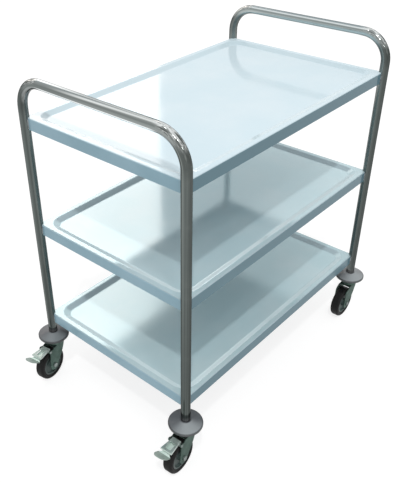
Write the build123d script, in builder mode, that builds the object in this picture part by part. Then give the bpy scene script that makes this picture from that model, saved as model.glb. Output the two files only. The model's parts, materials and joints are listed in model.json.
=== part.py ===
"""Three-tier serving cart: two bent tube hoops, three pressed shelves, four swivel casters.

Millimetres. X runs along the cart and points away from the braked end, Y points to its left and Z up.
The origin is on the floor, under the middle of the space that the cart takes up as it stands.
"""
from build123d import *
from math import atan2, pi, tan
import os

# Frame of two bent tubes
upright_spacing_x = 835.0  # between the axes of the two hoops
upright_spacing_y = 515.0  # between the two uprights of one hoop
frame_middle_x = 35.5  # the braked casters trail behind the frame, so its middle is ahead of the origin
handle_rise = 97.5  # from the top shelf's rim to the push bar's axis
tube_radius = 12.5
tube_wall = 1.2
hoop_bend_radius = 73.0  # on the tube's axis

# Pressed shelves
bottom_skirt_clearance = 37.0  # between the bumper discs and the bottom shelf's skirt
shelf_pitch = 304.0
sheet = 1.0
skirt_height = 31.0
skirt_bend_radius = 3.0  # outside of the bend
return_flange = 10.0
rim_width = 14.0  # flat rim, from the shelf's face to the start of the slope
slope_run = 18.5  # horizontal width of the slope down to the tray floor
recess_depth = 8.0
rim_corner_radius = 44.0
slope_bend_radius = 11.0
weld_gap = 0.15  # between the notched shelf corner and the tube
bead_radius = 2.2
bead_end_margin = 3.0  # the weld stops short of the skirt's top and bottom
bead_clearance = 0.05

# Hat-section stiffener under each tray
stiffener_end_margin = 15.0  # from the tray's level floor to the end of the channel
stiffener_crown = 46.0
stiffener_depth = 17.0
stiffener_flange = 14.0
stiffener_sheet = 1.2
stiffener_bend_radius = 2.4  # outside of the bend

# Caster stack, from the floor up
wheel_radius = 50.0
caster_trail = 32.0  # from the swivel axis back to the axle
crown_clearance = 9.0  # between the tyre and the fork's crown
fork_sheet = 2.5
crown_thickness = 3.0
ball_radius = 3.0
ball_circle_radius = 16.0
ball_pitch_gap = 0.6  # least gap between neighbouring balls
ball_seat_gap = 0.2
ball_top_gap = 0.4
race_edge_gap = 0.6  # between the lower race's rim and the fixed head
race_radius = 22.0
race_wall = 2.4
running_clearance = 0.08

# Caster head, which is fixed under the disc
head_height = 11.4
head_radius = 24.0
head_flange_thickness = 2.8
head_dome_radius = 22.6
head_dome_bend = 9.0
head_flat_radius = 18.5
head_plate_thickness = 2.8

# Stem bolt: foot under the fork, journal for the swivel, shank through disc and plug
stem_foot_radius = 10.0
stem_foot_thickness = 3.6
stem_foot_gap = 0.4
journal_radius = 7.0
journal_clearance = 0.3  # to the fixed head around it
stem_radius = 5.0
stem_hole_clearance = 0.3
stem_tip = 3.0
stem_chamfer = 0.8

# Bumper disc between the tube's foot and the caster
disc_radius = 45.0
disc_seat_thickness = 4.0
disc_socket_depth = 20.0
disc_collar_wall = 2.9
disc_cone_drop = 10.8
disc_rim_height = 6.2
disc_wall = 3.6
disc_hub_radius = 20.0
disc_edge_radius = 1.6
socket_clearance = 0.2

# Split plug and nut inside the tube
plug_clearance = 0.25
plug_length = 30.0
plug_slot_width = 1.5
plug_slot_count = 4
plug_base = 6.0  # unslotted height
stem_nut_flats = 17.0
stem_nut_height = 8.0
thread_clearance = 0.05
nut_chamfer = 0.8

# Fork
fork_inner_width = 34.0
crown_front = 19.0
crown_rear = 24.0
leg_foot_radius = 17.0
leg_front_bow = 3.8
leg_shoulder_back = 43.5
leg_shoulder_drop = 10.0  # below the crown's underside
leg_shoulder_radius = 11.0
fork_bend_radius = 3.2

# Wheel
tyre_width = 28.0
tyre_thickness = 14.0
tyre_shoulder_radius = 7.0
tyre_flank_set_in = 1.6
tyre_bead_width = 5.0  # radial height of the narrower part of the flank
seat_clearance = 0.1
rim_band_width = 23.0
rim_band_thickness = 4.5
web_thickness = 11.0
hub_radius = 12.5
hub_end_gap = 0.5
wheel_fillet = 1.4

# Axle
axle_radius = 4.0
axle_bush_radius = 6.5
axle_hole_clearance = 0.1
axle_head_flats = 13.0
axle_head_height = 4.6
axle_nut_height = 6.0
axle_tip = 2.0

# Foot brake on the two casters of the braked end
pivot_back = 43.0  # behind the swivel axis
pivot_drop = 3.0  # below the crown's underside
pin_radius = 2.5
pin_head_radius = 4.2
pin_head_height = 1.8
ear_radius = 5.0
ear_root_back = 30.0  # where the ear grows out of the leg's rear edge
brake_travel_degrees = 12.0
pedal_side_gap = 0.3
pedal_sheet = 2.5
pedal_barrel_radius = 4.5
pedal_plate_drop = 1.8  # plate's middle below the pivot
pedal_flat_end = 90.0
pedal_flare_start = 83.5
pedal_toe_back = 116.0
pedal_toe_rise = 17.0
pedal_toe_width = 38.0
pedal_toe_corner = 15.0
pedal_bend_radius = 5.0
pedal_flare_radius = 4.0
release_rise = 6.6  # frame's top above the pivot
release_sheet = 1.5
release_inner_back = 37.0
release_flare_start = 48.0
release_outer_back = 83.0
release_inner_width = 26.0
release_outer_width = 34.5
release_skirt = 5.0
release_edge_radius = 1.2
window_start = 53.0
window_end = 76.0
window_width = 17.0
window_corner = 2.0
pad_start = 53.0
pad_end = 66.0
pad_width = 18.0
pad_pressed_gap = 0.4  # left between pad and tyre at the end of the lever's travel
pad_edge_radius = 1.0

# Casters: name, side along X, side along Y, heading of the trailing wheel in degrees, braked or not
casters = [
    ("rear_right", -1, -1, 184.4, True),
    ("rear_left", -1, 1, 189.6, True),
    ("front_right", 1, -1, 180.9, False),
    ("front_left", 1, 1, 183.0, False),
]
shelves = [("bottom", 0), ("middle", 1), ("top", 2)]

# Places that follow from the sizes above
half_x = upright_spacing_x / 2
half_y = upright_spacing_y / 2
tube_bore = tube_radius - tube_wall
crown_bottom = 2 * wheel_radius + crown_clearance
crown_top = crown_bottom + crown_thickness
head_bottom = crown_top + ball_seat_gap + 2 * ball_radius + ball_top_gap
head_top = head_bottom + head_height
journal_top = head_top - head_plate_thickness
tube_foot = head_top + disc_seat_thickness
plug_top = tube_foot + plug_length
disc_top = tube_foot + disc_socket_depth
bottom_rim_height = disc_top + bottom_skirt_clearance + skirt_height
handle_axis_height = bottom_rim_height + (len(shelves) - 1) * shelf_pitch + handle_rise
tyre_seat_radius = wheel_radius - tyre_thickness
fork_half = fork_inner_width / 2
fork_outer_half = fork_half + fork_sheet
pivot_height = crown_bottom - pivot_drop
pedal_width = release_inner_width - 2 * (release_sheet + pedal_side_gap)
pedal_plate_height = pivot_height - pedal_plate_drop
pedal_plate_bottom = pedal_plate_height - pedal_sheet / 2
release_top = pivot_height + release_rise
axle_axis = Axis((caster_trail, 0, wheel_radius), (0, 1, 0))


def save(part, name):
    """Label one finished piece and write it under its own name."""
    part.label = name
    export_step(part, f"parts/{name}.step")


def plan(height):
    """A level plane at this height, centred on the frame."""
    return Plane((frame_middle_x, 0, height))


def corner_points():
    """The four upright axes as points on a plan plane."""
    return [(sx * half_x, sy * half_y) for sx in (-1, 1) for sy in (-1, 1)]


def shelf_rim(level):
    """Height of a shelf's rim, where level 0 is the bottom shelf."""
    return bottom_rim_height + level * shelf_pitch


def put(part, caster):
    """Stand a caster piece, built about its own swivel axis, under its upright."""
    name, side_x, side_y, heading, braked = caster
    place = Location((frame_middle_x + side_x * half_x, side_y * half_y, 0), (0, 0, heading))
    with BuildPart() as placed:
        with Locations(place):
            add(part)
    return placed.part


# Bent tube hoop
def make_hoop(side):
    """One hoop: two uprights and the push bar between them, bent from a single tube."""
    bar = half_y - hoop_bend_radius
    shoulder = handle_axis_height - hoop_bend_radius
    with BuildPart() as hoop:
        with BuildLine(Plane.YZ.offset(frame_middle_x + side * half_x)):
            Line((-half_y, tube_foot), (-half_y, shoulder))
            RadiusArc((-half_y, shoulder), (-bar, handle_axis_height), hoop_bend_radius)
            Line((-bar, handle_axis_height), (bar, handle_axis_height))
            RadiusArc((bar, handle_axis_height), (half_y, shoulder), hoop_bend_radius)
            Line((half_y, shoulder), (half_y, tube_foot))
        with BuildSketch(plan(tube_foot)):
            with Locations((side * half_x, -half_y)):
                Circle(tube_radius)
                Circle(tube_bore, mode=Mode.SUBTRACT)
        sweep()
    return hoop.part


# Pressed shelf
def pressed_block(rim, skin):
    """The shelf's outer form, or with a skin the space under a sheet of that thickness."""
    shift = skin * tan(atan2(recess_depth, slope_run) / 2)
    mouth_x = upright_spacing_x - 2 * (rim_width - shift)
    mouth_y = upright_spacing_y - 2 * (rim_width - shift)
    mouth_corner = rim_corner_radius + shift
    top = rim - skin
    with BuildPart() as block:
        with BuildSketch(plan(rim - skirt_height)):
            Rectangle(upright_spacing_x - 2 * skin, upright_spacing_y - 2 * skin)
        extrude(amount=skirt_height - skin)
        fillet(block.faces().sort_by(Axis.Z)[-1].edges(), skirt_bend_radius - skin)
        with BuildSketch(plan(top)):
            RectangleRounded(mouth_x, mouth_y, mouth_corner)
        with BuildSketch(plan(top - recess_depth)):
            RectangleRounded(mouth_x - 2 * slope_run, mouth_y - 2 * slope_run, mouth_corner - slope_run)
        loft(ruled=True, mode=Mode.SUBTRACT)
        mouth_edges = block.faces().filter_by(Axis.Z).sort_by(Axis.Z)[-1].inner_wires()[0].edges()
        fillet(mouth_edges, slope_bend_radius - skin)
        floor_edges = block.faces().filter_by(Axis.Z).sort_by(Axis.Z)[-2].outer_wire().edges()
        fillet(floor_edges, slope_bend_radius + skin)
    return block.part


def make_shelf(level):
    """A shelf pressed from one sheet: rim, recessed tray, skirts and a return flange underneath."""
    rim = shelf_rim(level)
    bottom = rim - skirt_height
    outer = pressed_block(rim, 0.0)
    hollow = pressed_block(rim, sheet)
    flange_x = upright_spacing_x - 2 * sheet
    flange_y = upright_spacing_y - 2 * sheet
    with BuildPart() as shelf:
        add(outer)
        add(hollow, mode=Mode.SUBTRACT)
        with BuildSketch(plan(bottom)):
            Rectangle(flange_x, flange_y)
            Rectangle(flange_x - 2 * return_flange, flange_y - 2 * return_flange, mode=Mode.SUBTRACT)
        extrude(amount=sheet)
        with BuildSketch(plan(bottom)):
            with Locations(*corner_points()):
                Circle(tube_radius + weld_gap)
        extrude(amount=skirt_height, mode=Mode.SUBTRACT)
    return shelf.part


def make_stiffener(level):
    """Hat-section channel spot-welded along the underside of a tray."""
    seat = shelf_rim(level) - recess_depth - sheet
    floor_length = upright_spacing_x - 2 * (rim_width + slope_run)
    length = floor_length - 2 * stiffener_end_margin
    inner_crown = stiffener_crown - 2 * stiffener_sheet
    inner_depth = stiffener_depth - stiffener_sheet
    with BuildPart() as stiffener:
        with BuildSketch(Plane.YZ.offset(frame_middle_x - length / 2)):
            with Locations((0, seat - stiffener_depth / 2)):
                Rectangle(stiffener_crown, stiffener_depth)
            with Locations((0, seat - stiffener_sheet / 2)):
                Rectangle(stiffener_crown + 2 * stiffener_flange, stiffener_sheet)
        extrude(amount=length)
        fillet(stiffener.edges().filter_by(Axis.X).group_by(Axis.Z)[0], stiffener_bend_radius)
        with BuildSketch(Plane.YZ.offset(frame_middle_x - length / 2)):
            with Locations((0, seat - inner_depth / 2)):
                Rectangle(inner_crown, inner_depth)
        extrude(amount=length, mode=Mode.SUBTRACT)
    return stiffener.part


def make_weld_beads():
    """Two upright weld beads where each shelf corner meets its tube, on the outer side of the skirts."""
    length = skirt_height - 2 * bead_end_margin
    with BuildPart() as beads:
        for shelf_name, level in shelves:
            with BuildSketch(plan(shelf_rim(level) - skirt_height + bead_end_margin)):
                with GridLocations(upright_spacing_x - 2 * tube_radius, upright_spacing_y, 2, 2):
                    Circle(bead_radius)
                with GridLocations(upright_spacing_x, upright_spacing_y - 2 * tube_radius, 2, 2):
                    Circle(bead_radius)
                Rectangle(upright_spacing_x, upright_spacing_y, mode=Mode.SUBTRACT)
                with Locations(*corner_points()):
                    Circle(tube_radius + bead_clearance, mode=Mode.SUBTRACT)
            extrude(amount=length)
    return beads.part


# Bumper disc
def make_disc():
    """Plastic bumper disc with a socket for the tube above and a hollow underside around its hub."""
    collar = tube_radius + socket_clearance + disc_collar_wall
    cone_foot = disc_top - disc_cone_drop
    slope = disc_cone_drop / (disc_radius - collar)
    underside = disc_wall * (1 + slope)
    inner_rim = disc_radius - disc_wall
    with BuildPart() as disc:
        with BuildSketch(Plane.XZ):
            with BuildLine():
                Polyline(
                    (stem_radius + stem_hole_clearance, head_top),
                    (disc_hub_radius, head_top),
                    (disc_hub_radius, disc_top - slope * (disc_hub_radius - collar) - underside),
                    (inner_rim, disc_top - slope * (inner_rim - collar) - underside),
                    (inner_rim, cone_foot - disc_rim_height),
                    (disc_radius, cone_foot - disc_rim_height),
                    (disc_radius, cone_foot),
                    (collar, disc_top),
                    (tube_radius + socket_clearance, disc_top),
                    (tube_radius + socket_clearance, tube_foot),
                    (stem_radius + stem_hole_clearance, tube_foot),
                    close=True,
                )
            make_face()
        revolve(axis=Axis.Z)
        rims = disc.edges().filter_by(GeomType.CIRCLE).group_by(SortBy.RADIUS)[-1]
        fillet(rims, disc_edge_radius)
    return disc.part


# Caster head and stem
def make_head():
    """Fixed upper race: a domed ring whose flat underside rests on the balls."""
    pocket = journal_radius + journal_clearance
    bore = stem_radius + stem_hole_clearance
    flange_top = head_bottom + head_flange_thickness
    with BuildPart() as head:
        with BuildSketch(Plane.XZ):
            with BuildLine():
                Polyline(
                    (head_dome_radius, flange_top),
                    (head_radius, flange_top),
                    (head_radius, head_bottom),
                    (pocket, head_bottom),
                    (pocket, journal_top),
                    (bore, journal_top),
                    (bore, head_top),
                    (head_flat_radius, head_top),
                )
                RadiusArc((head_flat_radius, head_top), (head_dome_radius, flange_top), head_dome_bend)
            make_face()
        revolve(axis=Axis.Z)
    return head.part


def make_stem_bolt():
    """Shouldered bolt that the fork turns on, from its foot under the crown up to the nut in the tube."""
    foot_top = crown_bottom - stem_foot_gap
    tip = plug_top + stem_nut_height + stem_tip
    with BuildPart() as bolt:
        with BuildSketch(Plane.XY.offset(foot_top - stem_foot_thickness)):
            Circle(stem_foot_radius)
        extrude(amount=stem_foot_thickness)
        with BuildSketch(Plane.XY.offset(foot_top)):
            Circle(journal_radius)
        extrude(amount=journal_top - foot_top)
        with BuildSketch(Plane.XY.offset(journal_top)):
            Circle(stem_radius)
        extrude(amount=tip - journal_top)
        chamfer(bolt.faces().sort_by(Axis.Z)[-1].edges(), stem_chamfer)
        chamfer(bolt.faces().sort_by(Axis.Z)[0].edges(), stem_chamfer)
    return bolt.part


def make_plug():
    """Split sleeve that the nut spreads against the inside of the tube."""
    with BuildPart() as plug:
        with BuildSketch(Plane.XY.offset(tube_foot)):
            Circle(tube_bore - plug_clearance)
            Circle(stem_radius + stem_hole_clearance, mode=Mode.SUBTRACT)
        extrude(amount=plug_length)
        with BuildSketch(Plane.XY.offset(tube_foot + plug_base)):
            with PolarLocations(tube_bore / 2, plug_slot_count):
                Rectangle(tube_bore, plug_slot_width)
        extrude(amount=plug_length - plug_base, mode=Mode.SUBTRACT)
    return plug.part


def make_stem_nut():
    """Hex nut on the stem, seated on the split plug."""
    with BuildPart() as nut:
        with BuildSketch(Plane.XY.offset(plug_top)):
            RegularPolygon(stem_nut_flats / 2, 6, major_radius=False)
            Circle(stem_radius + thread_clearance, mode=Mode.SUBTRACT)
        extrude(amount=stem_nut_height)
        chamfer(nut.faces().sort_by(Axis.Z)[-1].outer_wire().edges(), nut_chamfer)
    return nut.part


def make_balls():
    """Ring of bearing balls between the fork's race and the fixed head."""
    count = int(2 * pi * ball_circle_radius / (2 * ball_radius + ball_pitch_gap))
    with BuildPart() as balls:
        with Locations((0, 0, crown_top + ball_seat_gap + ball_radius)):
            with PolarLocations(ball_circle_radius, count):
                Sphere(ball_radius)
    return balls.part


# Fork
def make_fork(braked):
    """Pressed fork: legs sloping back from a crown that carries the lower race, with ears if braked."""
    front = (-crown_front, crown_bottom)
    shoulder = (leg_shoulder_back, crown_bottom - leg_shoulder_drop)
    front_toe = (caster_trail - leg_foot_radius, wheel_radius)
    rear_toe = (caster_trail + leg_foot_radius, wheel_radius)
    front_middle_x = (front[0] + front_toe[0]) / 2 - leg_front_bow
    front_middle_z = (front[1] + front_toe[1]) / 2 - leg_front_bow / 2
    beyond = leg_shoulder_back + leg_foot_radius
    with BuildPart() as fork:
        with BuildSketch(Plane.XZ):
            with BuildLine():
                Polyline(front, (-crown_front, crown_top), (crown_rear, crown_top))
                FilletPolyline((crown_rear, crown_top), shoulder, rear_toe, radius=leg_shoulder_radius)
                RadiusArc(rear_toe, front_toe, leg_foot_radius)
                ThreePointArc(front_toe, (front_middle_x, front_middle_z), front)
            make_face()
        extrude(amount=fork_outer_half, both=True)
        top_face = fork.faces().filter_by(Axis.Z).sort_by(Axis.Z)[-1]
        fillet(top_face.edges().filter_by(Axis.X), fork_bend_radius)
        if braked:
            with BuildSketch(Plane.XZ):
                with Locations((pivot_back, pivot_height)):
                    Circle(ear_radius)
                with BuildLine():
                    Polyline(
                        (ear_root_back, pivot_height),
                        (pivot_back, pivot_height + ear_radius),
                        (pivot_back, pivot_height - ear_radius),
                        close=True,
                    )
                make_face()
            extrude(amount=fork_outer_half, both=True)
        with BuildSketch(Plane.XY.offset(crown_bottom)):
            Circle(race_radius)
        extrude(amount=head_bottom - race_edge_gap - crown_bottom)
        with BuildSketch(Plane.XY.offset(crown_top)):
            Circle(race_radius - race_wall)
        extrude(amount=head_bottom - crown_top, mode=Mode.SUBTRACT)
        with BuildSketch(Plane.XZ):
            with BuildLine():
                Polyline(
                    (-beyond, crown_bottom),
                    (crown_rear, crown_bottom),
                    (crown_rear, head_bottom),
                    (beyond, head_bottom),
                    (beyond, 0),
                    (-beyond, 0),
                    close=True,
                )
            make_face()
        extrude(amount=fork_half, both=True, mode=Mode.SUBTRACT)
        with BuildSketch(Plane.XY.offset(crown_bottom)):
            Circle(journal_radius + running_clearance)
        extrude(amount=crown_thickness, mode=Mode.SUBTRACT)
        with BuildSketch(Plane.XZ):
            with Locations((caster_trail, wheel_radius)):
                Circle(axle_radius + axle_hole_clearance)
            if braked:
                with Locations((pivot_back, pivot_height)):
                    Circle(pin_radius + axle_hole_clearance)
        extrude(amount=fork_outer_half, both=True, mode=Mode.SUBTRACT)
    return fork.part


# Wheel
def make_wheel_centre():
    """Moulded wheel centre: hub, web and the band that the tyre sits on."""
    half_hub = fork_half - hub_end_gap
    bore = axle_bush_radius + running_clearance
    band_foot = tyre_seat_radius - rim_band_thickness
    with BuildPart() as centre:
        with BuildSketch(Plane.XY.offset(wheel_radius)):
            with Locations((caster_trail + (bore + hub_radius) / 2, 0)):
                Rectangle(hub_radius - bore, 2 * half_hub)
            with Locations((caster_trail + (bore + tyre_seat_radius) / 2, 0)):
                Rectangle(tyre_seat_radius - bore, web_thickness)
            with Locations((caster_trail + (band_foot + tyre_seat_radius) / 2, 0)):
                Rectangle(rim_band_thickness, rim_band_width)
        revolve(axis=axle_axis)
        fillet(centre.edges().filter_by(GeomType.CIRCLE).filter_by(on_web_corner), wheel_fillet)
    return centre.part


def on_web_corner(edge):
    """Whether a circular edge of the wheel centre lies where the web runs into the hub or the band."""
    return abs(abs(edge.center().Y) - web_thickness / 2) < 0.01


def make_tyre():
    """Solid tyre with a rounded tread and flanks that step in beside the wheel centre."""
    inner = tyre_seat_radius + seat_clearance
    half_width = tyre_width / 2
    narrow = half_width - tyre_flank_set_in
    x_inner = caster_trail + inner
    x_step = x_inner + tyre_bead_width
    x_outer = caster_trail + wheel_radius
    with BuildPart() as tyre:
        with BuildSketch(Plane.XY.offset(wheel_radius)) as section:
            with BuildLine():
                Polyline(
                    (x_inner, -narrow),
                    (x_step - tyre_flank_set_in, -narrow),
                    (x_step, -half_width),
                    (x_outer, -half_width),
                    (x_outer, half_width),
                    (x_step, half_width),
                    (x_step - tyre_flank_set_in, narrow),
                    (x_inner, narrow),
                    close=True,
                )
            make_face()
            fillet(section.vertices().group_by(Axis.X)[-1], tyre_shoulder_radius)
        revolve(axis=axle_axis)
    return tyre.part


# Axle
def make_axle_bolt():
    """Hex bolt through both legs, with its head on the left side of the caster."""
    start = fork_outer_half
    length = 2 * fork_outer_half + axle_nut_height + axle_tip
    with BuildPart() as bolt:
        with BuildSketch(Plane.XZ.offset(-start - axle_head_height)):
            with Locations((caster_trail, wheel_radius)):
                RegularPolygon(axle_head_flats / 2, 6, major_radius=False)
        extrude(amount=axle_head_height)
        chamfer(bolt.faces().sort_by(Axis.Y)[-1].edges(), nut_chamfer)
        with BuildSketch(Plane.XZ.offset(-start)):
            with Locations((caster_trail, wheel_radius)):
                Circle(axle_radius)
        extrude(amount=length)
        chamfer(bolt.faces().sort_by(Axis.Y)[0].edges(), nut_chamfer)
    return bolt.part


def make_axle_nut():
    """Lock nut against the right leg."""
    with BuildPart() as nut:
        with BuildSketch(Plane.XZ.offset(fork_outer_half)):
            with Locations((caster_trail, wheel_radius)):
                RegularPolygon(axle_head_flats / 2, 6, major_radius=False)
                Circle(axle_radius + thread_clearance, mode=Mode.SUBTRACT)
        extrude(amount=axle_nut_height)
        chamfer(nut.faces().sort_by(Axis.Y)[0].outer_wire().edges(), nut_chamfer)
    return nut.part


def make_axle_bush():
    """Steel sleeve clamped between the legs, on which the wheel turns."""
    with BuildPart() as bush:
        with BuildSketch(Plane.XZ):
            with Locations((caster_trail, wheel_radius)):
                Circle(axle_bush_radius)
                Circle(axle_radius + axle_hole_clearance, mode=Mode.SUBTRACT)
        extrude(amount=fork_half, both=True)
    return bush.part


# Foot brake
def make_pedal():
    """Stamped brake lever: barrel on the pin, level plate and a wide upturned toe."""
    half_sheet = pedal_sheet / 2
    toe_direction = Vector(pedal_toe_back - pedal_flat_end, pedal_toe_rise).normalized()
    lift_x = -toe_direction.Y * half_sheet
    lift_z = toe_direction.X * half_sheet
    toe_height = pedal_plate_height + pedal_toe_rise
    outline_bottom = pedal_plate_bottom - pedal_sheet
    with BuildPart() as pedal:
        with BuildSketch(Plane.XZ) as section:
            with BuildLine():
                Polyline(
                    (pivot_back, pedal_plate_height - half_sheet),
                    (pedal_flat_end, pedal_plate_height - half_sheet),
                    (pedal_toe_back - lift_x, toe_height - lift_z),
                    (pedal_toe_back + lift_x, toe_height + lift_z),
                    (pedal_flat_end, pedal_plate_height + half_sheet),
                    (pivot_back, pedal_plate_height + half_sheet),
                    close=True,
                )
            make_face()
            bend = section.vertices().sort_by(lambda corner: abs(corner.X - pedal_flat_end))[:2]
            fillet(bend, pedal_bend_radius)
        extrude(amount=pedal_toe_width / 2, both=True)
        with BuildSketch(Plane.XY.offset(outline_bottom)) as outline:
            with BuildLine():
                Polyline(
                    (0, -pedal_width / 2),
                    (pedal_flare_start, -pedal_width / 2),
                    (pedal_flat_end, -pedal_toe_width / 2),
                    (pedal_toe_back, -pedal_toe_width / 2),
                    (pedal_toe_back, pedal_toe_width / 2),
                    (pedal_flat_end, pedal_toe_width / 2),
                    (pedal_flare_start, pedal_width / 2),
                    (0, pedal_width / 2),
                    close=True,
                )
            make_face()
            fillet(outline.vertices().group_by(Axis.X)[-1], pedal_toe_corner)
            fillet(outline.vertices().group_by(Axis.X)[-3], pedal_flare_radius)
        extrude(amount=toe_height + pedal_sheet - outline_bottom, mode=Mode.INTERSECT)
        with BuildSketch(Plane.XZ):
            with Locations((pivot_back, pivot_height)):
                Circle(pedal_barrel_radius)
        extrude(amount=pedal_width / 2, both=True)
        with BuildSketch(Plane.XZ):
            with Locations((pivot_back, pivot_height)):
                Circle(pin_radius + running_clearance)
        extrude(amount=pedal_width / 2, both=True, mode=Mode.SUBTRACT)
    return pedal.part


def release_outline(inset, height):
    """Plan of the release frame at a height, with an inset for its inner side, open at its inner end."""
    inner_half = release_inner_width / 2 - inset
    outer_half = release_outer_width / 2 - inset
    start = release_inner_back - inset
    end = release_outer_back - inset
    with BuildSketch(Plane.XY.offset(height)) as outline:
        with BuildLine():
            Polyline(
                (start, -inner_half),
                (release_flare_start, -inner_half),
                (end, -outer_half),
                (end, outer_half),
                (release_flare_start, inner_half),
                (start, inner_half),
                close=True,
            )
        make_face()
    return outline.sketch


def make_release_frame():
    """Flanged plate over the lever, open in the middle, with two lugs down to the pin."""
    lug_bottom = pivot_height - pedal_barrel_radius
    plate_bottom = release_top - release_sheet
    with BuildPart() as release:
        add(release_outline(0.0, release_top - release_skirt))
        extrude(amount=release_skirt)
        top_face = release.faces().filter_by(Axis.Z).sort_by(Axis.Z)[-1]
        fillet(top_face.edges().sort_by(Axis.X)[1:], release_edge_radius)
        with BuildSketch(Plane.XZ):
            with Locations((pivot_back, pivot_height)):
                Circle(pedal_barrel_radius)
            with Locations((pivot_back, (pivot_height + plate_bottom) / 2)):
                Rectangle(2 * pedal_barrel_radius, plate_bottom - pivot_height)
        extrude(amount=release_inner_width / 2, both=True)
        add(release_outline(release_sheet, lug_bottom))
        extrude(amount=plate_bottom - lug_bottom, mode=Mode.SUBTRACT)
        with BuildSketch(Plane.XY.offset(plate_bottom)):
            with Locations(((window_start + window_end) / 2, 0)):
                RectangleRounded(window_end - window_start, window_width, window_corner)
        extrude(amount=release_sheet, mode=Mode.SUBTRACT)
        with BuildSketch(Plane.XZ):
            with Locations((pivot_back, pivot_height)):
                Circle(pin_radius + running_clearance)
        extrude(amount=release_inner_width / 2, both=True, mode=Mode.SUBTRACT)
    return release.part


def make_pad():
    """Rubber brake pad under the lever, curved to meet the tyre when the lever is down."""
    to_axle = Vector(caster_trail - pivot_back, wheel_radius - pivot_height)
    swung = to_axle.rotate(Axis.Z, brake_travel_degrees)
    tyre_centre = (pivot_back + swung.X, pivot_height + swung.Y)
    with BuildPart() as pad:
        with BuildSketch(Plane.XZ):
            with Locations(((pad_start + pad_end) / 2, pedal_plate_bottom - wheel_radius / 2)):
                Rectangle(pad_end - pad_start, wheel_radius)
            with Locations(tyre_centre):
                Circle(wheel_radius + pad_pressed_gap, mode=Mode.SUBTRACT)
        extrude(amount=pad_width / 2, both=True)
        fillet(pad.edges().filter_by(Axis.Z), pad_edge_radius)
    return pad.part


def make_pin():
    """Rivet through both ears, with a head outside each."""
    with BuildPart() as pin:
        with BuildSketch(Plane.XZ):
            with Locations((pivot_back, pivot_height)):
                Circle(pin_radius)
        extrude(amount=fork_outer_half, both=True)
        for side in (-1, 1):
            with BuildSketch(Plane.XZ.offset(side * fork_outer_half)):
                with Locations((pivot_back, pivot_height)):
                    Circle(pin_head_radius)
            extrude(amount=side * pin_head_height)
        fillet(pin.faces().sort_by(Axis.Y)[-1].edges(), pin_head_height / 2)
        fillet(pin.faces().sort_by(Axis.Y)[0].edges(), pin_head_height / 2)
    return pin.part


os.makedirs("parts", exist_ok=True)

save(make_hoop(-1), "rear_hoop")
save(make_hoop(1), "front_hoop")
for shelf_name, level in shelves:
    save(make_shelf(level), f"{shelf_name}_shelf")
    save(make_stiffener(level), f"{shelf_name}_shelf_stiffener")
save(make_weld_beads(), "weld_beads")

# Pieces that are alike under all four uprights
disc = make_disc()
head = make_head()
stem_bolt = make_stem_bolt()
plug = make_plug()
stem_nut = make_stem_nut()
balls = make_balls()
wheel_centre = make_wheel_centre()
tyre = make_tyre()
axle_bolt = make_axle_bolt()
axle_nut = make_axle_nut()
axle_bush = make_axle_bush()
plain_fork = make_fork(False)
braked_fork = make_fork(True)
pedal = make_pedal()
release_frame = make_release_frame()
pad = make_pad()
pin = make_pin()

with BuildPart() as stem_bolts:
    for caster in casters:
        add(put(stem_bolt, caster))
save(stem_bolts.part, "stem_bolts")
with BuildPart() as stem_nuts:
    for caster in casters:
        add(put(stem_nut, caster))
save(stem_nuts.part, "stem_nuts")

for caster in casters:
    corner, side_x, side_y, heading, braked = caster
    save(put(disc, caster), f"{corner}_bumper_disc")
    save(put(plug, caster), f"{corner}_stem_plug")
    save(put(head, caster), f"{corner}_caster_head")
    save(put(balls, caster), f"{corner}_bearing_balls")
    save(put(braked_fork if braked else plain_fork, caster), f"{corner}_fork")
    save(put(axle_bolt, caster), f"{corner}_axle_bolt")
    save(put(axle_nut, caster), f"{corner}_axle_nut")
    save(put(axle_bush, caster), f"{corner}_axle_bush")
    save(put(wheel_centre, caster), f"{corner}_wheel_centre")
    save(put(tyre, caster), f"{corner}_tyre")
    if braked:
        save(put(pedal, caster), f"{corner}_brake_pedal")
        save(put(release_frame, caster), f"{corner}_brake_release_frame")
        save(put(pad, caster), f"{corner}_brake_pad")
        save(put(pin, caster), f"{corner}_brake_pin")
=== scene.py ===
"""Looks of the three-tier serving cart: stainless tubes and trays, swivel casters, pale studio."""
import json
import math
import bpy
from mathutils import Matrix, Vector

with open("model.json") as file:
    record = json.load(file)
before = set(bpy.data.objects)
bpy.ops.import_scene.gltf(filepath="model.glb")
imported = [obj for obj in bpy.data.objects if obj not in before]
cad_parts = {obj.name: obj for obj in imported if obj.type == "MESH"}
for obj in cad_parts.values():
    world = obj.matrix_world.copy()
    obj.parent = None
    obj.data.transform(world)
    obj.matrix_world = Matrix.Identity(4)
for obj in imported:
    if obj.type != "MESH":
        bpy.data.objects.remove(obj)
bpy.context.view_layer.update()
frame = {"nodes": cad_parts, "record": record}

nodes = frame["nodes"]


# Places on the cart, in metres

FRAME_MIDDLE = 0.0355
HANDLE_AXIS = 0.9275
SHOULDER = 0.8545
TUBE_FOOT = 0.134
STEM_X = 0.4175
STEM_Y = 0.2575
DISC_RIM = (0.0415, 0.0435)
UNDER_TOP_TRAY = (0.7, 0.75)
UNDER_MIDDLE_TRAY = (0.35, 0.4)

# Share of the sheet's look that is mirror-like; the rest is satin
SHEET_GLOSS = 0.24

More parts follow.
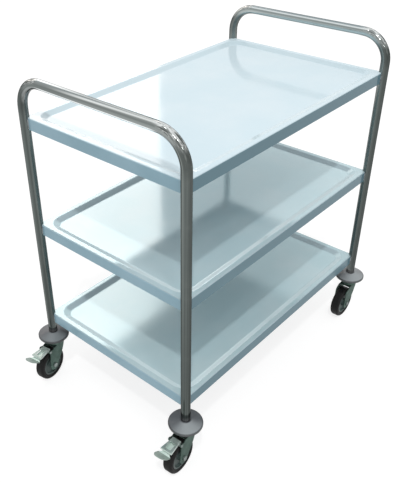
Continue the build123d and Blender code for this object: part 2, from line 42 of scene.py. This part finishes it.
# Painted reflection bands around the tube: place, then red, green and blue
UPRIGHT_REFLECTION_BANDS = [
    (0.0, 106, 113, 111), (0.28, 102, 109, 107), (0.42, 92, 98, 96), (0.5, 80, 86, 84),
    (0.58, 96, 103, 101), (0.8, 112, 119, 117), (1.0, 142, 149, 147)]
REAR_BAR_RIGHT_REFLECTION_BANDS = [
    (0.34, 122, 128, 127), (0.40, 136, 142, 141), (0.45, 150, 156, 155), (0.50, 138, 144, 143),
    (0.55, 130, 136, 135), (0.58, 134, 139, 138), (0.60, 166, 171, 170), (0.615, 222, 226, 225),
    (0.64, 236, 240, 239), (0.66, 190, 196, 196), (0.69, 132, 140, 142), (0.75, 136, 145, 148),
    (0.84, 186, 194, 197)]
REAR_BAR_LEFT_REFLECTION_BANDS = [
    (0.34, 122, 128, 127), (0.50, 120, 126, 125), (0.57, 118, 124, 123), (0.63, 132, 138, 137),
    (0.68, 146, 152, 152), (0.72, 168, 177, 179), (0.78, 208, 218, 222)]
FRONT_BAR_REFLECTION_BANDS = [
    (0.34, 122, 131, 131), (0.40, 154, 163, 163), (0.45, 194, 204, 204), (0.50, 170, 179, 179),
    (0.55, 144, 153, 153), (0.585, 146, 155, 155), (0.605, 202, 210, 211), (0.635, 234, 241, 242),
    (0.655, 160, 171, 173), (0.70, 152, 164, 168), (0.75, 184, 196, 200), (0.84, 208, 219, 223)]
# Painted highlight and reflection flecks on the bends: place, then red, green and blue
BEND_REFLECTION_FLECKS = [
    (0.36, 70, 74, 72), (0.46, 120, 125, 122), (0.52, 168, 172, 170), (0.56, 244, 246, 245),
    (0.62, 96, 100, 98)]


# Colours and node trees

def colour(red, green, blue):
    """A colour as it looks on screen, 0 to 255, in the renderer's linear values."""
    def channel(value):
        share = value / 255
        return share / 12.92 if share <= 0.04045 else ((share + 0.055) / 1.055) ** 2.4
    return (channel(red), channel(green), channel(blue), 1.0)


def grey(level):
    return (level, level, level, 1.0)


class Graph:
    """Writes a node tree as expressions: each call adds a node and gives back its output."""

    def __init__(self, owner):
        owner.use_nodes = True
        self.tree = owner.node_tree
        self.tree.nodes.clear()

    def node(self, kind, settings, inputs):
        node = self.tree.nodes.new("ShaderNode" + kind)
        for key, value in settings.items():
            setattr(node, key, value)
        for key, value in inputs.items():
            if isinstance(value, bpy.types.NodeSocket):
                self.tree.links.new(value, node.inputs[key])
            else:
                node.inputs[key].default_value = value
        return node

    def math(self, operation, *values):
        return self.node("Math", {"operation": operation}, dict(enumerate(values))).outputs[0]

    def times(self, first, second):
        return self.math("MULTIPLY", first, second)

    def times_plus(self, first, second, addend):
        return self.math("MULTIPLY_ADD", first, second, addend)

    def absolute(self, value):
        return self.math("ABSOLUTE", value)

    def length(self, first, second):
        squares = self.times_plus(first, first, self.times(second, second))
        return self.math("SQRT", squares)

    def stretch(self, vector, factors):
        node = self.node("VectorMath", {"operation": "MULTIPLY"}, {0: vector, 1: factors})
        return node.outputs[0]

    def join(self, x, y, z):
        return self.node("CombineXYZ", {}, {0: x, 1: y, 2: z}).outputs[0]

    def split(self, vector):
        return self.node("SeparateXYZ", {}, {0: vector}).outputs

    def step(self, value, low, high, to_low=0.0, to_high=1.0):
        """Goes smoothly from to_low at low to to_high at high."""
        node = self.node("MapRange", {"interpolation_type": "SMOOTHSTEP"},
                         {0: value, 1: low, 2: high, 3: to_low, 4: to_high})
        return node.outputs[0]

    def mix(self, factor, first, second):
        node = self.node("Mix", {"data_type": "RGBA"}, {0: factor, 6: first, 7: second})
        return node.outputs[2]

    def ramp(self, value, stops):
        """A colour that runs through the (place, red, green, blue) stops."""
        node = self.node("ValToRGB", {}, {0: value})
        marks = node.color_ramp.elements
        marks.remove(marks[1])
        place, *tone = stops[0]
        marks[0].position, marks[0].color = place, colour(*tone)
        for place, *tone in stops[1:]:
            marks.new(place).color = colour(*tone)
        return node.outputs[0]

    def noise(self, vector, scale, detail=3.0, roughness=0.5):
        inputs = {"Vector": vector, "Scale": scale, "Detail": detail, "Roughness": roughness}
        return self.node("TexNoise", {}, inputs).outputs[0]

    def bump(self, height, strength, distance):
        inputs = {"Height": height, "Strength": strength, "Distance": distance}
        return self.node("Bump", {}, inputs).outputs[0]

    def place(self):
        return self.node("TexCoord", {}, {}).outputs["Object"]

    def facing(self):
        return self.node("TexCoord", {}, {}).outputs["Normal"]

    def surface(self, shader):
        self.node("OutputMaterial", {}, {"Surface": shader})

    def principled(self, base, roughness, metallic, normal, extra=None):
        inputs = {"Base Color": base, "Roughness": roughness, "Metallic": metallic,
                  "Normal": normal, **(extra or {})}
        self.surface(self.node("BsdfPrincipled", {}, inputs).outputs[0])


def material(name):
    made = bpy.data.materials.new(name)
    return made, Graph(made)


# Stainless tube: dark polished metal with painted reflection bands and highlights that run along it

def upright_tone(g, place, facing):
    """Uprights: painted reflection bands, with a thin dark line between the outer side, share 0,
    and the inner side, share 1.
    """
    x, y, z = place
    out_x, out_y, _ = facing
    side_x = g.math("SIGN", g.math("SUBTRACT", x, FRAME_MIDDLE))
    outward = g.times_plus(out_x, side_x, g.times(out_y, g.math("SIGN", y)))
    share = g.times_plus(outward, -0.3536, 0.5)
    tone = g.ramp(share, UPRIGHT_REFLECTION_BANDS)
    # Under the top tray, the front left upright carries a painted reflection of the pale trays on
    # its inner side
    front_left = g.times(g.math("GREATER_THAN", x, FRAME_MIDDLE), g.math("GREATER_THAN", y, 0.0))
    inner_painted_reflection = g.times(g.step(share, 0.5, 0.7, 0.0, 0.85), g.math("LESS_THAN", z, 0.8))
    tone = g.mix(g.times(front_left, inner_painted_reflection), tone, colour(206, 216, 218))
    # Both right uprights carry painted shade on the side that faces the front right
    across = g.times_plus(out_x, -0.68, g.times(out_y, 0.73))
    right_side_painted_shade = g.math("LESS_THAN", y, 0.0)
    return g.mix(g.times(right_side_painted_shade, g.step(across, -1.0, 0.4, 0.6, 0.0)), tone, colour(62, 65, 64))


def bar_tone(g, place, facing, rear):
    """Push bars: painted reflection bands and highlights from the outer side over the top, slanting
    a little along the rear bar.
    """
    _, y, _ = place
    out_x, _, out_z = facing
    angle = g.math("ARCTAN2", out_z, g.times(out_x, -1.0))
    turn = g.times_plus(angle, 1 / math.tau, 0.5)
    turn = g.times_plus(g.times(y, rear), 0.22, turn)
    right_part = g.ramp(turn, REAR_BAR_RIGHT_REFLECTION_BANDS)
    left_part = g.ramp(turn, REAR_BAR_LEFT_REFLECTION_BANDS)
    rear_bar = g.mix(g.step(y, 0.0, 0.16), right_part, left_part)
    return g.mix(rear, g.ramp(turn, FRONT_BAR_REFLECTION_BANDS), rear_bar)


def with_painted_bend_highlights(g, base, place, facing):
    """Bends: short painted flecks of white highlight and dark reflection, and a painted bright
    highlight along the crown of the right ones.
    """
    _, y, z = place
    out_x, out_y, out_z = facing
    bend = g.times(g.step(g.absolute(y), 0.18, 0.2),
                   g.step(z, HANDLE_AXIS - 0.036, HANDLE_AXIS - 0.02))
    around = g.join(g.times(out_x, 2.2), g.times_plus(y, 26.0, out_y), g.times(out_z, 3.4))
    warp = g.noise(around, 1.0, 2.0, 0.5)
    flecked = g.times(bend, g.step(out_z, 0.1, 0.6, 0.1, 0.8))
    base = g.mix(flecked, base, g.ramp(warp, BEND_REFLECTION_FLECKS))
    painted_crown_highlight = g.times(g.step(out_z, 0.55, 0.8),
                    g.step(z, HANDLE_AXIS - 0.004, HANDLE_AXIS + 0.004))
    painted_crown_highlight = g.times(painted_crown_highlight, g.step(y, -0.2, -0.17, 1.0, 0.0))
    return g.mix(g.times(painted_crown_highlight, g.step(warp, 0.4, 0.46, 0.2, 0.85)), base, colour(242, 246, 246))


def with_painted_streaks(g, base, place, facing, level):
    """Painted reflection streaks along the tube, dark and pale, calmer on the push bars."""
    _, y, z = place
    out_x, out_y, out_z = facing
    along = g.times_plus(z, 0.9, g.times(y, 1.3))

    def marks(scale, detail):
        around = g.join(g.times(out_x, scale), g.times(out_y, scale),
                        g.times_plus(out_z, scale, along))
        return g.noise(around, 1.0, detail, 0.6)

    broad = marks(2.7, 2.0)
    fine = marks(9.0, 3.0)
    calm = g.times_plus(level, -0.6, 1.0)
    base = g.mix(g.times(calm, g.step(broad, 0.34, 0.5, 0.5, 0.0)), base, colour(58, 62, 60))
    base = g.mix(g.times(calm, g.step(broad, 0.56, 0.74, 0.0, 0.45)), base, colour(160, 166, 162))
    return g.mix(g.times(calm, g.step(fine, 0.35, 0.65, 0.25, 0.0)), base, colour(66, 70, 68))


def tube_material():
    made, g = material("tube_polished")
    where = g.place()
    place = g.split(where)
    facing = g.split(g.facing())
    x, y, z = place
    rear = g.math("LESS_THAN", x, FRAME_MIDDLE)
    level = g.step(z, HANDLE_AXIS - 0.04, HANDLE_AXIS - 0.006)
    base = g.mix(level, upright_tone(g, place, facing), bar_tone(g, place, facing, rear))
    base = with_painted_bend_highlights(g, base, place, facing)

    # The uprights carry painted shade that darkens them downwards and most where the bend begins,
    # and painted light that makes them paler at the foot
    base = g.mix(g.step(z, 0.25, 0.6, 0.3, 0.0), base, colour(48, 53, 52))
    foot = g.step(z, TUBE_FOOT + 0.026, TUBE_FOOT + 0.038, 0.55, 0.0)
    base = g.mix(foot, base, colour(160, 155, 156))
    knee_painted_shade = g.times(g.step(z, SHOULDER - 0.03, SHOULDER + 0.01),
                   g.step(z, HANDLE_AXIS - 0.03, HANDLE_AXIS - 0.01, 0.35, 0.0))
    base = g.mix(knee_painted_shade, base, colour(38, 42, 41))

    # Undersides carry a painted reflection of the pale trays
    under = g.step(g.times_plus(rear, -0.45, facing[2]), -0.8, -0.6, 1.0, 0.0)
    under = g.times(under, g.step(g.absolute(y), 0.165, 0.195, 1.0, 0.2))
    base = g.mix(under, base, colour(246, 250, 251))

    base = with_painted_streaks(g, base, place, facing, level)
    wear = g.noise(where, 14.0, 4.0, 0.6)
    base = g.mix(g.step(wear, 0.45, 0.75, 0.0, 0.15), base, colour(126, 132, 128))
    roughness = g.step(wear, 0.3, 0.8, 0.08, 0.18)
    scratches = g.noise(g.stretch(where, (60.0, 60.0, 900.0)), 1.0, 2.0)
    edge = g.mix(level, grey(0.5), grey(0.3))
    edge = g.mix(under, edge, grey(1.0))
    g.principled(base, roughness, 1.0, g.bump(scratches, 0.02, 0.001), {"Specular Tint": edge})
    return made


# Stainless sheet: satin trays with painted light and shade, blue-grey painted reflection on the
# upright faces, duller underside

def shelf_material():
    made, g = material("shelf_stainless")
    where = g.place()
    x, y, z = g.split(where)
    out_x, out_y, out_z = g.split(g.facing())
    cloud = g.noise(where, 6.0, 4.0, 0.6)
    mottled = g.step(cloud, 0.35, 0.7)
    low = g.step(z, *UNDER_TOP_TRAY, 1.0, 0.0)
    lowest = g.step(z, *UNDER_MIDDLE_TRAY, 1.0, 0.0)
    sideways = g.times_plus(x, 0.68, g.times(y, -0.73))

    # The lower trays are a little less red; the bottom tray carries painted shade that darkens it
    # towards its front right
    top = g.mix(low, colour(216, 235, 243), colour(211, 236, 242))
    bottom_tray_painted_shade = g.mix(g.step(sideways, -0.05, 0.3), colour(209, 235, 240), colour(194, 220, 226))
    top = g.mix(lowest, top, bottom_tray_painted_shade)
    top = g.mix(g.times(mottled, 0.14), top, colour(255, 255, 255))

    # The far slopes of each recess carry painted shade that makes them duller than its floor, the
    # near slopes painted light that makes them brighter
    sloped = g.step(out_z, 0.93, 0.985, 1.0, 0.0)
    lean = g.math("ADD", out_x, out_y)
    far_slope_painted_shade = g.times(sloped, g.step(lean, -0.3, -0.1, 1.0, 0.0))
    top = g.mix(g.times(far_slope_painted_shade, g.times_plus(low, 0.6, 0.35)), top, colour(182, 201, 208))
    near_slope_painted_light = g.times(sloped, g.step(lean, 0.1, 0.3, 0.0, 0.5))
    top = g.mix(near_slope_painted_light, top, colour(234, 251, 255))

    # The upright faces carry a blue-grey painted reflection, with painted shade on the long sides
    skirt_with_painted_reflection = g.mix(mottled, colour(166, 204, 220), colour(178, 214, 230))
    long_side_painted_shade = g.step(g.absolute(out_y), 0.4, 0.8, 0.0, 0.85)
    skirt_with_painted_reflection = g.mix(long_side_painted_shade, skirt_with_painted_reflection, colour(105, 141, 154))
    upright = g.step(g.absolute(out_z), 0.25, 0.75, 1.0, 0.0)
    under = g.step(out_z, -0.8, -0.4, 1.0, 0.0)
    base = g.mix(under, g.mix(upright, top, skirt_with_painted_reflection), colour(176, 192, 200))

    # The top tray is the most worn, so it mirrors least, and least of all towards its front right
    worn = g.step(sideways, -0.05, 0.16, 0.5, 0.07)
    gloss = g.times(g.math("MAXIMUM", low, worn), SHEET_GLOSS)
    gloss = g.times(gloss, g.times_plus(sloped, -0.7, 1.0))
    roughness = g.times_plus(lowest, 0.09, g.step(cloud, 0.3, 0.75, 0.07, 0.13))
    grain = g.noise(g.stretch(where, (18.0, 900.0, 900.0)), 1.0, 2.0)
    g.principled(base, roughness, gloss, g.bump(grain, 0.015, 0.0005), {"Specular IOR Level": 0.2})
    return made


def metal_material(name, dark, light, scale, rough_low, rough_high, metallic=1.0, edge=0.5,
                   painted_tops=None, painted_sides=None, turned=(0.5, 0.9)):
    """Plated or mill-finished metal: two tones, spots of wear and a fine grain, and where given, a
    painted tone of light or shade on its tops or on its sides.
    """
    made, g = material(name)
    where = g.place()
    cloud = g.noise(where, scale, 5.0, 0.6)
    fine = g.noise(where, scale * 22, 2.0)
    base = g.mix(g.step(cloud, 0.35, 0.68), colour(*dark), colour(*light))
    level = g.absolute(g.split(g.facing())[2])
    if painted_tops:
        base = g.mix(g.step(level, *turned, 0.0, 0.8), base, colour(*painted_tops))
    if painted_sides:
        base = g.mix(g.step(level, *turned, 0.8, 0.0), base, colour(*painted_sides))
    roughness = g.step(cloud, 0.3, 0.7, rough_low, rough_high)
    g.principled(base, roughness, metallic, g.bump(fine, 0.06, 0.0004),
                 {"Specular Tint": grey(edge)})
    return made


def moulded_grain(g, where):
    return g.bump(g.noise(where, 1400.0, 2.0), 0.12, 0.0003)


def bumper_material():
    """Grey moulded disc with painted light and shade: paler where it faces the light, painted shade
    at its rim.
    """
    made, g = material("bumper_grey")
    where = g.place()
    x, y, _ = g.split(where)
    out_x, out_y, _ = g.split(g.facing())
    cloud = g.noise(where, 26.0, 4.0, 0.55)

    # Around the disc, how far its surface faces the light: -1 to 1
    toward = g.times_plus(out_x, -0.5, g.times(out_y, -0.86))
    toward = g.math("DIVIDE", toward, g.math("ADD", g.length(out_x, out_y), 0.05))
    toward = g.times_plus(g.math("SUBTRACT", cloud, 0.5), 0.3, toward)
    base = g.mix(g.step(toward, 0.0, 1.0), colour(98, 102, 106), colour(150, 157, 160))

    # The left discs carry a little painted shade, the front discs a little painted light
    base = g.mix(g.step(y, -0.1, 0.1, 0.0, 0.28), base, colour(66, 70, 73))
    front_disc_painted_light = g.step(x, FRAME_MIDDLE - 0.1, FRAME_MIDDLE + 0.1, 0.0, 0.25)
    base = g.mix(front_disc_painted_light, base, colour(196, 200, 202))

    # Painted shade at the disc's rim
    off_x = g.math("SUBTRACT", g.absolute(g.math("SUBTRACT", x, FRAME_MIDDLE)), STEM_X)
    off_y = g.math("SUBTRACT", g.absolute(y), STEM_Y)
    rim_painted_shade = g.step(g.length(off_x, off_y), *DISC_RIM, 0.0, 0.75)
    base = g.mix(rim_painted_shade, base, colour(40, 43, 45))
    g.principled(base, g.step(cloud, 0.3, 0.7, 0.32, 0.46), 0.0, moulded_grain(g, where))
    return made


def moulded_material(name, dark, light, scale, rough_low, rough_high, sheen=0.5):
    """Rubber or plastic: matt, faintly mottled, with a fine moulded grain."""
    made, g = material(name)
    where = g.place()
    cloud = g.noise(where, scale, 4.0, 0.55)
    base = g.mix(g.step(cloud, 0.35, 0.68), colour(*dark), colour(*light))
    roughness = g.step(cloud, 0.3, 0.7, rough_low, rough_high)
    g.principled(base, roughness, 0.0, moulded_grain(g, where), {"Specular IOR Level": sheen})
    return made


finishes = {
    "tube": tube_material(),
    "shelf": shelf_material(),
    "stiffener": metal_material("stiffener_mill", (118, 132, 140), (138, 152, 160), 9.0,
                                0.22, 0.34),
    "weld": metal_material("weld_bead", (96, 100, 102), (150, 156, 158), 90.0, 0.3, 0.5),
    "bumper": bumper_material(),
    "plug": moulded_material("plug_grey", (66, 64, 65), (84, 82, 83), 30.0, 0.5, 0.65),
    # Dark zinc: painted shade on its tops
    "zinc": metal_material("zinc_dark", (76, 98, 90), (104, 127, 118), 40.0, 0.36, 0.5,
                           metallic=0.5, edge=0.3, painted_tops=(44, 54, 51)),
    # Bright zinc: a painted highlight on its sides
    "bright_zinc": metal_material("zinc_bright", (150, 166, 161), (184, 199, 193), 40.0, 0.3, 0.42,
                                  metallic=0.4, painted_sides=(236, 246, 242)),
    # Pedal: pale zinc, partly painted light, with painted shade on its sides
    "pedal": metal_material("pedal_zinc", (214, 236, 226), (236, 250, 244), 40.0, 0.32, 0.45,
                            metallic=0.35, painted_sides=(150, 165, 157), turned=(0.88, 0.97)),
    "ball": metal_material("ball_steel", (150, 154, 158), (176, 180, 184), 60.0, 0.1, 0.18),
    "fastener": metal_material("fastener_zinc", (128, 138, 136), (160, 168, 166), 60.0, 0.26, 0.4,
                               metallic=0.8, edge=0.4),
    "wheel_centre": moulded_material("wheel_centre_grey", (70, 86, 84), (88, 104, 101), 30.0,
                                     0.4, 0.55),
    "tyre": moulded_material("tyre_black", (14, 14, 15), (30, 30, 30), 36.0, 0.5, 0.68, 0.2),
    "pad": moulded_material("pad_black", (30, 30, 32), (44, 44, 46), 50.0, 0.55, 0.7),
}
slot_of = {row["node"]: row["material_slot"] for row in frame["record"]["subparts"]}
for name, thing in nodes.items():
    thing.data.materials.clear()
    thing.data.materials.append(finishes[slot_of[name]])


# Studio: a pale floor under a white surround

AMBIENT = 0.66
SUN_STRENGTH = 0.70
SUN_SPREAD = 2.5
SUN_DIRECTION = (0.41, 0.33, -1.0)
FLOOR_HALF = 14.0
FLOOR_GLOW = 0.8
# Heading of each ceiling lamp from the middle of the cart, and its watts
LAMPS = [((-0.29, 0.13, 0.95), 14.0), ((-0.35, -0.44, 0.72), 14.0), ((-0.34, -0.60, 0.48), 9.0)]
LAMP_DISTANCE = 3.2
LAMP_RADIUS = 0.07
# The window's right edge stands at a heading and a distance from a point at the rear right
WINDOW_STRENGTH = 3.1
WINDOW_FROM = (FRAME_MIDDLE - 1.3065, -1.008, 0)
WINDOW_HEADING = 42.7
WINDOW_DISTANCE = 4.5
WINDOW_WIDTH = 4
WINDOW_FOOT = 1.2
WINDOW_HEAD = 3.9


def add(name, data):
    thing = bpy.data.objects.new(name, data)
    bpy.context.scene.collection.objects.link(thing)
    return thing


def panel(name, corners, finish):
    """A mesh of one four-sided face."""
    mesh = bpy.data.meshes.new(name)
    mesh.from_pydata([tuple(corner) for corner in corners], [], [(0, 1, 2, 3)])
    mesh.materials.append(finish)
    return mesh


def seen_as_background(g):
    """1 for camera, glossy and transmission rays, so that all three see the same white."""
    path = g.node("LightPath", {}, {}).outputs
    seen = g.math("MAXIMUM", path["Is Camera Ray"], path["Is Glossy Ray"])
    return g.math("MAXIMUM", seen, path["Is Transmission Ray"])


world = bpy.data.worlds.new("studio")
bpy.context.scene.world = world
g = Graph(world)
height = g.split(g.node("TexCoord", {}, {}).outputs["Generated"])[2]
soft = g.step(height, 0.0, 0.9, AMBIENT * 0.52, AMBIENT * 1.25)
seen = seen_as_background(g)
strength = g.math("ADD", seen, g.times(g.math("SUBTRACT", 1.0, seen), soft))
background = g.node("Background", {}, {"Color": grey(1.0), "Strength": strength})
g.node("OutputWorld", {}, {"Surface": background.outputs[0]})

floor_pale, g = material("floor_pale")
lit = g.node("BsdfDiffuse", {}, {"Color": grey(0.3)})
glow = g.node("Emission", {}, {"Color": grey(1.0),
                               "Strength": g.times(seen_as_background(g), FLOOR_GLOW)})
g.surface(g.node("AddShader", {}, {0: lit.outputs[0], 1: glow.outputs[0]}).outputs[0])
floor_corners = [(-FLOOR_HALF, -FLOOR_HALF, 0), (FLOOR_HALF, -FLOOR_HALF, 0),
                 (FLOOR_HALF, FLOOR_HALF, 0), (-FLOOR_HALF, FLOOR_HALF, 0)]
floor = add("floor", panel("floor", floor_corners, floor_pale))

sun = bpy.data.lights.new("sun", "SUN")
sun.energy = SUN_STRENGTH
sun.angle = math.radians(SUN_SPREAD)
sun_stand = add("sun", sun)
sun_stand.rotation_euler = Vector(SUN_DIRECTION).to_track_quat("-Z", "Y").to_euler()

# A row of small ceiling lamps, for the sparkle on the bends
for number, (toward, watts) in enumerate(LAMPS):
    spot = bpy.data.lights.new(f"ceiling_lamp_{number}", "POINT")
    spot.energy = watts
    spot.shadow_soft_size = LAMP_RADIUS
    stand = add(f"ceiling_lamp_{number}", spot)
    stand.location = Vector((FRAME_MIDDLE, 0, 0.6)) + LAMP_DISTANCE * Vector(toward)

# A tall bright window far to the left, which shows only in glossy surfaces
window_glow, g = material("window_glow")
glossy = g.node("LightPath", {}, {}).outputs["Is Glossy Ray"]
glow = g.node("Emission", {}, {"Color": (1.0, 0.91, 0.87, 1.0),
                               "Strength": g.times(glossy, WINDOW_STRENGTH)})
g.surface(glow.outputs[0])
turn = math.radians(WINDOW_HEADING)
heading = Vector((math.cos(turn), math.sin(turn), 0))
leftward = Vector((-heading.y, heading.x, 0))
right_edge = Vector(WINDOW_FROM) + WINDOW_DISTANCE * heading
left_edge = right_edge + WINDOW_WIDTH * leftward
foot, head = Vector((0, 0, WINDOW_FOOT)), Vector((0, 0, WINDOW_HEAD))
window_corners = [right_edge + foot, left_edge + foot, left_edge + head, right_edge + head]
window = add("window", panel("window", window_corners, window_glow))
window.visible_camera = False
window.visible_shadow = False
window.visible_diffuse = False


# Camera at the photograph's angle

azimuth = math.radians(-46.8627)
elevation = math.radians(32.8193)
roll = math.radians(-1.3419)
back = Vector((math.sin(azimuth) * math.cos(elevation), -math.cos(azimuth) * math.cos(elevation),
               math.sin(elevation)))
across = (-back).cross(Vector((0, 0, 1))).normalized()
above = across.cross(-back)
right = math.cos(roll) * across + math.sin(roll) * above
up = math.cos(roll) * above - math.sin(roll) * across
lens = bpy.data.cameras.new("camera")
lens.lens = 49.672
lens.sensor_width = 36.0
lens.shift_x = 0.09535
lens.shift_y = -0.01463
camera = add("camera", lens)
camera.matrix_world = Matrix((right, up, back)).transposed().to_4x4()
camera.location = (FRAME_MIDDLE - 1.30628, -1.00779, 1.45816)
bpy.context.scene.camera = camera
bpy.context.scene.view_settings.view_transform = "Standard"
